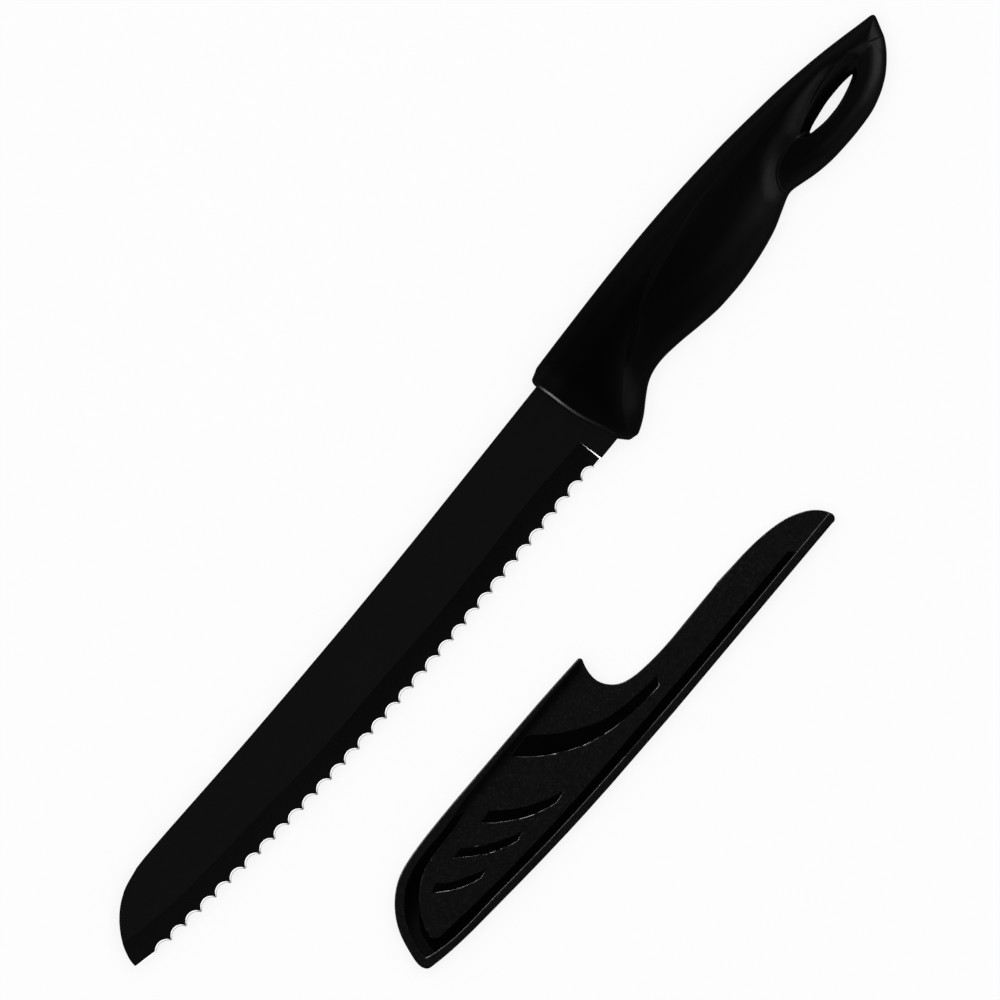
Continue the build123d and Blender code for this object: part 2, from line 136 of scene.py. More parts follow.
def line_distance(x, y, line, closed):
    """Distance to a polyline, side of it (+1 is left of its run) and share run so far."""
    starts = line if closed else line[:-1]
    ends = np.roll(line, -1, axis=0) if closed else line[1:]
    runs = ends - starts
    squares = np.maximum((runs ** 2).sum(1), 1e-12)
    lengths = np.sqrt(squares)
    passed = np.concatenate([[0], np.cumsum(lengths)[:-1]])
    count = len(x)
    distance, side, along = np.empty(count), np.empty(count), np.empty(count)
    chunk = max(1, 4000000 // len(starts))       # keeps the work arrays small
    for first in range(0, count, chunk):
        part = slice(first, first + chunk)
        dx, dy = x[part, None] - starts[:, 0], y[part, None] - starts[:, 1]
        t = np.clip((dx * runs[:, 0] + dy * runs[:, 1]) / squares, 0, 1)
        off_x, off_y = dx - t * runs[:, 0], dy - t * runs[:, 1]
        off_square = off_x * off_x + off_y * off_y
        best = off_square.argmin(1)
        row = np.arange(len(best))
        distance[part] = np.sqrt(off_square[row, best])
        side[part] = np.sign(runs[best, 0] * dy[row, best] - runs[best, 1] * dx[row, best])
        along[part] = passed[best] + t[row, best] * lengths[best]
    return distance, side, along / (passed[-1] + lengths[-1])


def inside(x, y, outline):
    """Even-odd test against a closed outline."""
    result = np.zeros(len(x), bool)
    following = np.roll(outline, -1, axis=0)
    for (start_x, start_y), (end_x, end_y) in zip(outline, following):
        if start_y == end_y:
            continue
        level = np.nonzero((y > min(start_y, end_y)) & (y <= max(start_y, end_y)))[0]
        cross_x = start_x + (y[level] - start_y) * (end_x - start_x) / (end_y - start_y)
        result[level[x[level] < cross_x]] ^= True
    return result


def depth_inside(x, y, outline):
    """Distance to a closed outline, positive inside."""
    distance, _, _ = line_distance(x, y, outline, True)
    return np.where(inside(x, y, outline), distance, -distance)


def smooth_max(first, second, blend):
    share = np.clip(0.5 + 0.5 * (first - second) / blend, 0, 1)
    return second + (first - second) * share + blend * share * (1 - share)


def smooth_step(t):
    t = np.clip(t, 0, 1)
    return t * t * (3 - 2 * t)


def mound(x, y, centre, reach):
    """Rounded bump of height 1 about the centre."""
    return np.exp(-((x - centre[0]) / reach[0]) ** 2 - ((y - centre[1]) / reach[1]) ** 2)


class Grid:
    """Named fields over a fine grid in x and y, read smoothly anywhere."""

    def __init__(self, x_low, x_high, y_low, y_high, step):
        self.x_low, self.y_low, self.step = x_low, y_low, step
        self.shape = (int(round((x_high - x_low) / step)) + 1,
                      int(round((y_high - y_low) / step)) + 1)
        x, y = np.meshgrid(x_low + np.arange(self.shape[0]) * step,
                           y_low + np.arange(self.shape[1]) * step, indexing="ij")
        self.x, self.y = x.ravel(), y.ravel()
        self.fields = {}

    def put(self, name, values):
        self.fields[name] = values.reshape(self.shape)

    def get(self, name, x, y):
        field = self.fields[name]
        column = np.clip((x - self.x_low) / self.step, 0, self.shape[0] - 1.001)
        row = np.clip((y - self.y_low) / self.step, 0, self.shape[1] - 1.001)
        i, j = column.astype(int), row.astype(int)
        across, up = column - i, row - j
        return ((field[i, j] * (1 - across) + field[i + 1, j] * across) * (1 - up)
                + (field[i, j + 1] * (1 - across) + field[i + 1, j + 1] * across) * up)


# --------------------------------------------------------------------------
# Meshing: a smooth quad skin over an implicit solid (negative inside)
# --------------------------------------------------------------------------
SETTLE_TURNS = 4         # the mesh is also evened out on the first of these
MOVE_LIMIT = 0.6         # longest move in one turn, in grid steps
EVEN_OUT = 0.6           # share of the way to the neighbours' mean
PROBE = 0.02             # mm, half the span of a slope measurement


def surface_nets(solid, low, high, step):
    """Quad mesh of solid < 0: one vertex in each grid cell the surface crosses."""
    low, high = np.array(low, float), np.array(high, float)
    counts = np.ceil((high - low) / step).astype(int) + 1
    ticks = [low[k] + np.arange(counts[k]) * step for k in range(3)]
    field = np.empty(tuple(counts), np.float32)
    y, z = np.meshgrid(ticks[1], ticks[2], indexing="ij")
    for i, x in enumerate(ticks[0]):
        field[i] = solid(np.full(y.size, x), y.ravel(), z.ravel()).reshape(y.shape)
    within = field < 0
    cells = counts - 1
    total = np.zeros((int(np.prod(cells)), 3))
    number = np.zeros(int(np.prod(cells)), np.int32)
    crossings = []
    for axis in range(3):
        near, far = [slice(None)] * 3, [slice(None)] * 3
        near[axis], far[axis] = slice(None, -1), slice(1, None)
        near, far = tuple(near), tuple(far)
        crossed = within[near] != within[far]
        index = np.argwhere(crossed)
        place = index.astype(float)
        place[:, axis] += field[near][crossed] / (field[near][crossed] - field[far][crossed])
        side_a, side_b = [k for k in range(3) if k != axis]
        around = []
        for step_a, step_b in ((-1, -1), (0, -1), (0, 0), (-1, 0)):
            cell = index.copy()
            cell[:, side_a] += step_a
            cell[:, side_b] += step_b
            valid = ((cell >= 0) & (cell < cells)).all(1)
            flat = (cell[:, 0] * cells[1] + cell[:, 1]) * cells[2] + cell[:, 2]
            np.add.at(total, flat[valid], place[valid])
            np.add.at(number, flat[valid], 1)
            around.append(np.where(valid, flat, -1))
        crossings.append((axis, np.stack(around, 1), within[near][crossed]))
    used = np.nonzero(number)[0]
    vertex_of = np.full(len(number), -1, np.int64)
    vertex_of[used] = np.arange(len(used))
    verts = low + step * total[used] / number[used][:, None]
    quads = []
    for axis, around, near_within in crossings:
        whole = (around >= 0).all(1)
        faces = vertex_of[around[whole]]
        keep = near_within[whole]
        if axis == 1:
            keep = ~keep
        faces[~keep] = faces[~keep][:, ::-1]
        quads.append(faces)
    quads = np.vstack(quads)
    return settle(solid, verts, quads, step), quads


def gradient(solid, verts):
    result = np.empty_like(verts)
    for k in range(3):
        ahead, behind = verts.copy(), verts.copy()
        ahead[:, k] += PROBE
        behind[:, k] -= PROBE
        result[:, k] = (solid(*ahead.T) - solid(*behind.T)) / (2 * PROBE)
    return result


def settle(solid, verts, quads, step):
    """Moves the vertices onto the surface itself."""
    for turn in range(SETTLE_TURNS):
        value = solid(*verts.T)
        slope = gradient(solid, verts)
        slope_square = np.maximum((slope ** 2).sum(1), 1e-6)
        move = -(value / slope_square)[:, None] * slope
        length = np.linalg.norm(move, axis=1)
        move *= np.minimum(1.0, MOVE_LIMIT * step / np.maximum(length, 1e-9))[:, None]
        verts = verts + move
        if turn == 0:
            normal = slope / np.sqrt(slope_square)[:, None]
            shift = neighbour_mean(verts, quads) - verts
            shift -= (shift * normal).sum(1)[:, None] * normal
            verts = verts + EVEN_OUT * shift
    return verts


def neighbour_mean(verts, quads):
    corners = np.concatenate([quads[:, k] for k in (0, 1, 2, 3)])
    following = np.concatenate([quads[:, k] for k in (1, 2, 3, 0)])
    total = np.zeros_like(verts)
    number = np.zeros(len(verts))
    for here, there in ((corners, following), (following, corners)):
        np.add.at(total, here, verts[there])
        np.add.at(number, here, 1)
    return total / np.maximum(number, 1)[:, None]


def mesh_object(name, verts, faces):
    """Smooth-shaded object from vertices in drawing millimetres."""
    mesh = bpy.data.meshes.new(name)
    mesh.from_pydata(np.column_stack(to_row(*verts.T)).tolist(), [], faces.tolist())
    mesh.validate()
    mesh.update()
    mesh.polygons.foreach_set("use_smooth", np.ones(len(mesh.polygons), bool))
    return add_object(name, mesh)


# --------------------------------------------------------------------------
# Handle: sculpted moulding.  Its thickness is symmetric about z = 0.
# --------------------------------------------------------------------------
# (x, y) side outline, from the front along the spine, round the butt and back
HANDLE_OUTLINE = [
    (188.0, 19.1), (194.0, 19.3), (200.0, 19.55), (203.98, 19.75), (210.0, 20.0),
    (220.0, 20.33), (231.0, 20.65), (240.0, 20.83), (250.0, 20.93), (259.5, 20.8),
    (268.0, 20.55), (274.7, 20.22), (281.0, 19.8), (287.5, 19.3), (294.0, 18.65),
    (301.0, 17.85), (308.5, 16.95), (316.0, 15.75), (322.0, 14.65), (327.6, 13.5),
    (333.0, 12.25), (338.0, 11.0), (341.0, 10.3), (342.5, 9.9), (343.2, 9.35),
    (343.05, 8.5), (342.2, 6.8), (341.3, 5.1), (340.2, 3.1), (338.2, 0.7),
    (336.4, -0.95), (334.3, -2.6), (331.7, -4.3), (328.3, -5.9), (325.0, -7.0),
    (321.4, -7.8), (314.2, -8.22), (308.5, -8.1), (303.5, -7.75), (297.6, -6.7),
    (293.3, -5.45), (290.4, -4.62), (288.9, -4.4), (287.3, -4.65), (283.5, -5.9),
    (278.0, -7.7), (272.5, -8.8), (267.4, -9.47), (260.85, -9.99), (255.0, -9.95),
    (250.0, -9.66), (243.0, -8.55), (236.5, -7.3), (231.4, -6.55), (228.5, -6.35),
    (226.1, -6.45), (223.3, -6.95), (221.0, -7.8), (217.5, -9.8), (213.5, -12.35),
    (210.5, -13.8), (208.6, -14.5), (207.2, -14.75), (204.0, -14.8), (198.0, -14.8),
    (188.0, -14.8)]
# (x, y) front edge of the collar, from the spine down
COLLAR_FRONT = [
    (204.6, 22.5), (203.2, 20.3), (202.0, 19.45), (201.0, 18.85), (200.4, 18.0),
    (200.12, 16.85), (200.25, 14.5), (200.45, 11.5), (200.6, 6.6), (201.2, 0.7),
    (202.2, -3.9), (202.95, -7.2), (203.2, -9.5), (203.45, -10.9), (204.0, -11.8),
    (204.75, -13.0), (205.6, -14.1), (206.8, -14.9), (208.4, -16.5)]
# (x, y) outline of the hang hole
HOLE = [
    (326.2, 3.3), (324.0, 2.35), (321.5, 1.65), (318.6, 1.05), (315.6, 0.72),
    (312.0, 0.72), (308.6, 1.15), (305.3, 2.0), (307.2, 2.75), (310.6, 3.35),
    (315.8, 3.98), (320.9, 4.0), (324.0, 3.75)]
# (x, y) rim of the funnel that leads into the hole
FUNNEL = [
    (301.4, 4.2), (302.9, 4.8), (305.3, 5.5), (309.8, 6.8), (314.5, 7.9),
    (319.5, 8.65), (324.1, 8.75), (328.3, 8.0), (331.0, 6.5), (331.2, 5.3),
    (329.6, 3.9), (325.9, 1.7), (321.8, 0.5), (317.2, -0.15), (313.0, -0.3),
    (309.3, 0.3), (305.3, 1.3), (302.6, 2.5), (301.4, 3.5)]
# (x, y) step between the thinner ring (-y side) and the rest (+y side)
RING_CREST = [
    (288.9, -6.5), (288.3, -4.4), (287.6, -2.6), (288.6, 0.0), (291.0, 2.5),
    (294.4, 3.9), (297.8, 4.35), (301.4, 4.5), (305.3, 5.6), (309.8, 6.9),
    (314.5, 8.0), (319.5, 8.75), (324.1, 8.85), (328.3, 8.05), (331.6, 6.6),
    (334.0, 6.0), (336.4, 5.35), (338.2, 4.55), (340.3, 3.55), (343.0, 2.2)]
# (x, y) line between the spine band (+y side) and the belly panel (-y side)
BAND_LINE = [
    (205.6, -15.6), (207.4, -12.2), (210.9, -8.0), (214.4, -4.75), (218.2, -1.75),
    (222.8, 1.2), (229.4, 4.5), (236.4, 7.55), (243.2, 9.9), (250.4, 11.6),
    (257.8, 12.7), (266.4, 13.75), (274.0, 14.2), (281.5, 14.1), (289.5, 13.5),
    (298.1, 12.9), (306.0, 12.2), (314.5, 10.9), (322.0, 9.6), (329.0, 8.2)]

# Stations (x, value), all in mm except EDGE_POWER
HALF_THICK = [
    (198.0, 6.75), (202.0, 7.0), (206.0, 7.3), (211.0, 7.4), (217.0, 7.25),
    (223.0, 7.05), (231.0, 7.1), (240.0, 7.35), (250.0, 7.55), (259.5, 7.62),
    (268.5, 7.55), (278.0, 7.25), (288.5, 6.75), (298.0, 6.45), (308.0, 6.2),
    (318.0, 5.75), (327.0, 5.1), (334.0, 4.3), (339.0, 3.5), (343.5, 2.4)]
RING_HALF_THICK = [
    (284.0, 4.2), (290.0, 4.3), (297.0, 4.6), (305.0, 4.8), (315.0, 4.75),
    (325.0, 4.45), (332.0, 4.0), (338.0, 3.4), (343.5, 2.3)]
EDGE_ROUND = [
    (190.0, 12.0), (210.0, 13.0), (255.0, 14.0), (275.0, 13.0), (287.0, 10.5),
    (297.0, 7.0), (306.0, 5.6), (330.0, 5.4), (344.0, 4.5)]
# exponent of the edge's rounding: 2 is an ellipse, more is squarer
EDGE_POWER = [(190, 2.3), (215, 2.2), (270, 2.15), (290, 2.1), (302, 2.0), (344, 2.0)]
# dip of the spine band beside the panel; negative is a raised crest
BAND_DIP = [
    (205, -0.35), (211, -0.50), (217, -0.36), (222, -0.05), (227, 0.30), (232, 0.48),
    (240, 0.46), (250, 0.40), (268, 0.40), (285, 0.3), (305, 0.2), (330, 0.05)]
# how far the dip spreads into the band
DIP_REACH = [(205, 6.0), (220, 6.0), (232, 7.5), (260, 5.0), (330, 3.0)]
# height of the low lip along the panel
PANEL_LIP = [
    (205, 0.0), (214, 0.0), (222, 0.15), (230, 0.28), (240, 0.22), (250, 0.12),
    (280, 0.06), (330, 0.0)]
# width over which the band passes into the panel
BAND_STEP_WIDTH = [
    (205, 1.6), (214, 1.2), (224, 0.8), (236, 0.7), (247, 2.4), (257, 2.0),
    (263, 0.8), (271, 0.8), (279, 2.6), (330, 3.5)]
# width over which the ring passes into the rest
RING_STEP_WIDTH = [
    (280, 0.65), (328, 0.65), (331.5, 3.4), (334.5, 3.4), (336.2, 0.8), (345, 0.6)]
# least height of the step beyond RING_END_X
RING_END_STEP = [(300, 0.0), (334, 0.0), (337, 0.55), (341, 0.5), (345, 0.3)]

FAR = 30.0               # stands for "a long way off" where no distance is worked out
NEAR_OUTLINE = 2.5       # distances are worked out this far beyond the outline
COLLAR_END_X = 214.0     # the collar front matters up to here
RING_START_X = 280.0
HOLE_START_X = 290.0
RING_END_X = 330.0
LIP_REACH = 1.8          # how far the panel's lip spreads
SHOULDER_WIDTH = 5.6     # rounded shoulder above the ring: width, drop, and the
SHOULDER_DROP = 1.5      # stretch of x over which it fades
SHOULDER_FADE_X = 320.0
SHOULDER_FADE = 11.0
MIN_BODY, MIN_HALF = 0.6, 0.5
THROAT = 0.3             # half height of the solid at the edge of the hole
FUNNEL_RISE = 0.15       # the funnel ends this much above the surface
FUNNEL_CURVE = 0.8       # exponent of the funnel's flare
OUTSIDE_SLOPE = 3.0      # steepness beyond the funnel rim and within the hole
FUNNEL_SLOPE = 0.62      # brings the funnel's height difference near a true distance
FUNNEL_BLEND = 0.5       # rounding of the funnel rim
COLLAR_BEVEL = 1.05      # bevel round the collar's front
COLLAR_BLEND = 0.22      # rounding of the bevel's edges
HANDLE_STEP = 0.36       # mesh grid
HANDLE_LOW = (199.3, -15.8, -8.28)
HANDLE_HIGH = (344.2, 21.8, 8.28)


def masked_distance(grid, mask, line):
    """line_distance to an open line where mask holds, FAR elsewhere."""
    count = len(mask)
    distance, side, along = np.full(count, FAR), np.ones(count), np.zeros(count)
    chosen = np.nonzero(mask)[0]
    distance[chosen], side[chosen], along[chosen] = line_distance(
        grid.x[chosen], grid.y[chosen], line, False)
    return distance, side, along


def flank_relief(grid, near):
    """Height added to the flanks by the spine band and the belly panel."""
    x, y = grid.x, grid.y
    distance, side, along = masked_distance(grid, near, spline(BAND_LINE, 0.8))
    to_belly = -side * distance
    fade = smooth_step(along / 0.03) * (1 - smooth_step((along - 0.86) / 0.14))
    dip = table(BAND_DIP, x) * fade
    lip = table(PANEL_LIP, x) * fade
    width = table(BAND_STEP_WIDTH, x)
    band = -dip * np.exp(-np.maximum(-to_belly, 0) / table(DIP_REACH, x))
    panel = lip * np.exp(-np.maximum(to_belly, 0) / LIP_REACH)
    share = smooth_step(0.5 + (to_belly + 0.15) / width)
    relief = band * (1 - share) + panel * share
    # soft thumb hollow on the belly panel, and a slight crown behind it
    relief = relief - 0.35 * mound(x, y, centre=(232, -1.0), reach=(13.0, 6.0))
    relief = relief + 0.12 * mound(x, y, centre=(262, 1.0), reach=(16.0, 7.0))
    # the flank of the finger guard falls towards the neck
    flank = mound(x, y, centre=(218.5, -6.5), reach=(5.5, 4.5))
    return relief - 0.22 * flank * smooth_step((to_belly + 0.2) / 2.2)


def half_thickness(grid, near):
    """Half thickness of the handle away from its rounded edges."""
    x = grid.x
    distance, side, _ = masked_distance(grid, near & (x > RING_START_X),
                                        spline(RING_CREST, 0.5))
    above = side * distance              # positive on the +y side of the crest
    shoulder = np.clip(1 - np.maximum(above, 0) / SHOULDER_WIDTH, 0, 1) ** 2 * SHOULDER_DROP
    shoulder *= 1 - smooth_step((x - SHOULDER_FADE_X) / SHOULDER_FADE)
    body = np.maximum(table(HALF_THICK, x) + flank_relief(grid, near) - shoulder, MIN_BODY)
    ring = table(RING_HALF_THICK, x)
    ring = np.where(x > RING_END_X, np.minimum(ring, body - table(RING_END_STEP, x)), ring)
    share = smooth_step(0.5 + above / table(RING_STEP_WIDTH, x))
    return np.maximum(ring * (1 - share) + body * share, MIN_HALF)


def funnel_height(grid, near, half):
    """Height below which the handle is solid round the hang hole."""
    chosen = np.nonzero(near & (grid.x > HOLE_START_X))[0]
    x, y = grid.x[chosen], grid.y[chosen]
    off_hole, in_funnel = np.full(len(near), FAR), np.full(len(near), -FAR)
    off_hole[chosen] = -depth_inside(x, y, spline(HOLE, 0.35, closed=True))
    in_funnel[chosen] = depth_inside(x, y, spline(FUNNEL, 0.5, closed=True))
    t = off_hole / np.maximum(off_hole + np.maximum(in_funnel, 0), 1e-6)
    height = np.where(off_hole > 0,
                      THROAT + (half + FUNNEL_RISE) * np.clip(t, 0, 1) ** FUNNEL_CURVE
                      + OUTSIDE_SLOPE * np.maximum(-in_funnel, 0),
                      THROAT + OUTSIDE_SLOPE * off_hole)
    return np.clip(height, -9.0, FAR)


def handle_fields():
    grid = Grid(197.5, 345.0, -17.0, 23.0, step=0.14)
    x, y = grid.x, grid.y
    depth = depth_inside(x, y, spline(HANDLE_OUTLINE, 0.5, closed=True))
    near = depth > -NEAR_OUTLINE
    # the front line runs downwards, so its right-hand side (-x) is ahead
    collar = near & (x < COLLAR_END_X)
    distance, side, _ = masked_distance(grid, collar, spline(COLLAR_FRONT, 0.4))
    grid.put("ahead", np.where(collar, -side * distance,
                               np.where(x < COLLAR_END_X, 5.0, -FAR)))
    half = half_thickness(grid, near)
    rounding = table(EDGE_ROUND, x)
    grid.put("edge", 1 - depth / rounding)       # 1 on the outline, 0 where flat begins
    grid.put("half", half)
    grid.put("round", rounding)
    grid.put("power", table(EDGE_POWER, x))
    grid.put("funnel", funnel_height(grid, near, half))
    return grid


def build_handle():
    grid = handle_fields()

    def solid(x, y, z):
        edge = np.maximum(grid.get("edge", x, y), 0.0)
        half = grid.get("half", x, y)
        ahead = grid.get("ahead", x, y)
        power = grid.get("power", x, y)
        height = np.sqrt(z * z + 1e-4)
        level = height / half
        reach = np.maximum((edge ** power + level ** power), 1e-9) ** (1 / power)
        slope_in = (edge / reach) ** (power - 1) / grid.get("round", x, y)
        slope_up = (level / reach) ** (power - 1) / half
        slope = np.sqrt(slope_in * slope_in + slope_up * slope_up)
        body = (reach - 1) / np.maximum(slope, 0.06)
        funnel = (height - grid.get("funnel", x, y)) * FUNNEL_SLOPE
        result = smooth_max(body, funnel, FUNNEL_BLEND)
        # bevelled collar at the front; 0.7071 makes the 45 degree cut a true distance
        result = smooth_max(result, ahead, COLLAR_BLEND)
        return smooth_max(result, (body + ahead + COLLAR_BEVEL) * 0.7071, COLLAR_BLEND)

    verts, quads = surface_nets(solid, HANDLE_LOW, HANDLE_HIGH, HANDLE_STEP)
    # centred on the blade and kept above z = 0
    verts[:, 2] = np.maximum(verts[:, 2], -BLADE_MID_Z) + BLADE_MID_Z
    return mesh_object("handle_moulding", verts, quads)


# --------------------------------------------------------------------------
# Materials
# --------------------------------------------------------------------------
class Shader:
    """A node tree with its output and surface node; most methods add one node.

    A value may be a number, a tuple or another node's output.
    """

    def __init__(self, tree, output="ShaderNodeOutputMaterial",
                 surface="ShaderNodeBsdfPrincipled"):
        tree.nodes.clear()
        self.tree = tree
        output_node = tree.nodes.new(output)
        self.surface = tree.nodes.new(surface)
        tree.links.new(self.surface.outputs[0], output_node.inputs[0])

    def feed(self, node, inputs):
        for key, value in inputs.items():
            socket = node.inputs[key]
            if isinstance(value, tuple) and socket.type == "RGBA":
                value = (*value, 1)
            if isinstance(value, (int, float, tuple)):
                socket.default_value = value
            else:
                self.tree.links.new(value, socket)

    def finish(self, inputs):
        self.feed(self.surface, inputs)

    def add(self, kind, inputs, **settings):
        node = self.tree.nodes.new(kind)
        for key, value in settings.items():
            setattr(node, key, value)
        self.feed(node, inputs)
        return node

    def coords(self, x=1, y=1, z=1):
        """Object coordinates, scaled along each axis."""
        source = self.add("ShaderNodeTexCoord", {}).outputs["Object"]
        return self.add("ShaderNodeMapping",
                        {"Scale": (x, y, z), "Vector": source}).outputs["Vector"]

    def axes(self, source="Object"):
        """Separate X, Y and Z of a coordinate."""
        source = self.add("ShaderNodeTexCoord", {}).outputs[source]
        return self.add("ShaderNodeSeparateXYZ", {0: source}).outputs

    def noise(self, vector, scale, detail=3.0, rough=0.5):
        return self.add("ShaderNodeTexNoise", {"Scale": scale, "Detail": detail,
                                               "Roughness": rough,
                                               "Vector": vector}).outputs["Fac"]

    def ramp(self, value, stops):
        """Greys read from (position, grey) stops."""
        node = self.add("ShaderNodeValToRGB", {"Fac": value})
        elements = node.color_ramp.elements
        while len(elements) < len(stops):
            elements.new(0.5)
        for element, (position, grey) in zip(elements, stops):
            element.position = position
            element.color = (grey, grey, grey, 1)
        return node.outputs["Color"]

    def math(self, operation, *terms, clamp=False):
        return self.add("ShaderNodeMath", dict(enumerate(terms)), operation=operation,
                        use_clamp=clamp).outputs[0]

    def scaled(self, value, by, plus, clamp=False):
        return self.math("MULTIPLY_ADD", value, by, plus, clamp=clamp)

    def mix(self, share, low, high):
        """Colour from low at share 0 to high at share 1."""
        return self.add("ShaderNodeMix", {0: share, 6: low, 7: high},
                        data_type="RGBA").outputs[2]

    def bump(self, height, strength, distance, over=None):
        """Bumped normal, laid over another one if given."""
        inputs = {"Strength": strength, "Distance": distance, "Height": height}
        if over is not None:
            inputs["Normal"] = over
        return self.add("ShaderNodeBump", inputs).outputs["Normal"]


def new_material(name):
    material = bpy.data.materials.new(name)
    material.use_nodes = True
    return material, Shader(material.node_tree)


def coating_material():
    """Satin black non-stick coating: very fine orange peel and faint specks."""
    material, shader = new_material("black_coating")
    place = shader.coords()
    fine = shader.noise(place, scale=2600.0, detail=2.0)
    broad = shader.noise(place, scale=38.0)
    streak = shader.noise(shader.coords(60, 900, 60), scale=1.0, rough=0.6)
    specks = shader.ramp(shader.noise(place, scale=1500.0, detail=1.0),
                         stops=[(0.70, 0.0), (0.76, 1.0)])
    base = shader.mix(broad, low=(0.0052, 0.0052, 0.0055), high=(0.0075, 0.0075, 0.0078))
    base = shader.mix(shader.math("MULTIPLY", specks, 0.08), low=base, high=(0.10, 0.10, 0.10))
    rough = shader.scaled(broad, by=0.08, plus=0.16)
    peel = shader.bump(fine, strength=0.16, distance=0.00002)
    shader.finish({
        "Base Color": base,
        "Roughness": shader.scaled(streak, by=0.06, plus=rough),
        "Specular IOR Level": 0.42,
        "Normal": shader.bump(streak, strength=0.05, distance=0.00003, over=peel)})
    return material


def bare_steel_material():
    """Freshly ground steel: short grinding lines, bright, with a dark grey line painted along its
    lowest strip as painted shade.
    """
    material, shader = new_material("ground_steel")
    lines = shader.noise(shader.coords(7000, 500, 500), scale=1.0, detail=2.0, rough=0.6)
    broad = shader.noise(shader.coords(), scale=140.0, detail=2.0)
    bright = shader.mix(broad, low=(0.80, 0.805, 0.81), high=(0.92, 0.925, 0.93))
    # painted shade: dark grey wherever the surface lies below this height, a painted dark line
    # along the steel's outer edge
    shade_line_below = BLADE_MID_Z - 0.065
    painted_edge_shade = shader.math("GREATER_THAN", shade_line_below / 1000.0, shader.axes()["Z"])
    shader.finish({
        "Base Color": shader.mix(shader.math("MULTIPLY", painted_edge_shade, 0.92), low=bright,
                                 high=(0.06, 0.06, 0.062)),
        "Metallic": 1.0,
        "Roughness": shader.scaled(lines, by=0.16, plus=0.24),
        "Normal": shader.bump(lines, strength=0.25, distance=0.00002)})
    return material


def ramp_material():
    """The ramp at the end of the bevel: coating thinning to steel at the edge."""
    material, shader = new_material("worn_ramp")
    # the y, in the drawing, where the steel is barest and where the coating is whole
    bare, coated = (ORIGIN_Y - 10.9) / 1000.0, (ORIGIN_Y - 3.2) / 1000.0
    span = coated - bare
    wear = shader.scaled(shader.axes()["Y"], by=-1.0 / span, plus=coated / span)
    lines = shader.noise(shader.coords(500, 6000, 500), scale=1.0, detail=2.0, rough=0.6)
    wear = shader.math("MULTIPLY", wear, shader.scaled(lines, by=0.2, plus=0.9))
    shader.finish({
        "Base Color": shader.ramp(wear, stops=[(0.0, 0.08), (0.22, 0.34), (0.60, 0.72),
                                               (1.0, 0.90)]),
        "Metallic": 1.0,
        "Roughness": 0.38,
        "Normal": shader.bump(lines, strength=0.08, distance=0.00002)})
    return material


GLOSS_START_X, GLOSS_LENGTH = 200.0, 143.0
# (x, specular level): dull behind the collar's lip, polished towards the ring
GLOSS = [(205, 0.45), (208, 0.22), (222, 0.22), (240, 0.36), (262, 0.48),
         (300, 0.52), (322, 0.64), (343, 0.66)]


def handle_material():
    """Smooth black moulding: semi-gloss, faint flow marks, hairline handling wear."""
    material, shader = new_material("black_moulding")
    fine = shader.noise(shader.coords(), scale=1900.0, detail=2.0)
    broad = shader.noise(shader.coords(22, 60, 60), scale=1.0, detail=4.0)
    hairs = shader.ramp(shader.noise(shader.coords(90, 2600, 900), scale=1.0, detail=2.0,
                                     rough=0.7), stops=[(0.66, 0.0), (0.74, 1.0)])
    rough = shader.scaled(broad, by=0.10, plus=0.26)
    along = shader.scaled(shader.axes()["X"], by=1000.0 / GLOSS_LENGTH,
                          plus=-(GLOSS_START_X + ORIGIN_X) / GLOSS_LENGTH)
    grain = shader.bump(fine, strength=0.10, distance=0.00002)
    shader.finish({
        "Base Color": shader.mix(broad, low=(0.0045, 0.0045, 0.0048),
                                 high=(0.0070, 0.0070, 0.0074)),
        "Roughness": shader.scaled(hairs, by=0.06, plus=rough),
        "Specular IOR Level": shader.ramp(
            along, stops=[((x - GLOSS_START_X) / GLOSS_LENGTH, level) for x, level in GLOSS]),
        "Normal": shader.bump(hairs, strength=0.04, distance=0.00001, over=grain)})
    return material


def guard_material():
    """Spark-textured black plastic: fine even grain, with painted glints: bright specks painted
    into its base colour.
    """
    material, shader = new_material("grained_plastic")
    place = shader.coords()
    grain = shader.noise(place, scale=3100.0, detail=2.0, rough=0.6)
    coarse = shader.noise(place, scale=900.0, detail=2.0)
    broad = shader.noise(place, scale=34.0)
    # painted highlights: glint specks that lift the base colour towards light grey
    painted_glints = shader.ramp(shader.noise(place, scale=2700.0, detail=1.0),
                        stops=[(0.60, 0.0), (0.70, 1.0)])
    base = shader.mix(broad, low=(0.0020, 0.0020, 0.0021), high=(0.0036, 0.0036, 0.0038))
    base = shader.mix(shader.math("MULTIPLY", painted_glints, 0.24), low=base, high=(0.09, 0.09, 0.09))
    fine = shader.bump(grain, strength=0.64, distance=0.00006)
    shader.finish({
        "Base Color": base,
        "Roughness": shader.scaled(coarse, by=0.16, plus=0.30),
        "Specular IOR Level": 0.5,
        "Normal": shader.bump(coarse, strength=0.30, distance=0.00008, over=fine)})
    return material


def cavity_matt_and_shade_material():
    """Inside of the guard: dead matt, as left by the core of the mould, and painted darker than
    the outside as painted shade that keeps the slots black.
    """
    material, shader = new_material("cavity_matt_painted_shade")
    place = shader.coords()
    broad = shader.noise(place, scale=60.0)
    fine = shader.noise(place, scale=2400.0, detail=2.0)
    shader.finish({
        "Base Color": shader.mix(broad, low=(0.0012, 0.0012, 0.0013),
                                 high=(0.0028, 0.0028, 0.0030)),
        "Roughness": shader.scaled(broad, by=0.10, plus=0.84),
        "Specular IOR Level": 0.0,
        "Normal": shader.bump(fine, strength=0.4, distance=0.00004)})
    return material


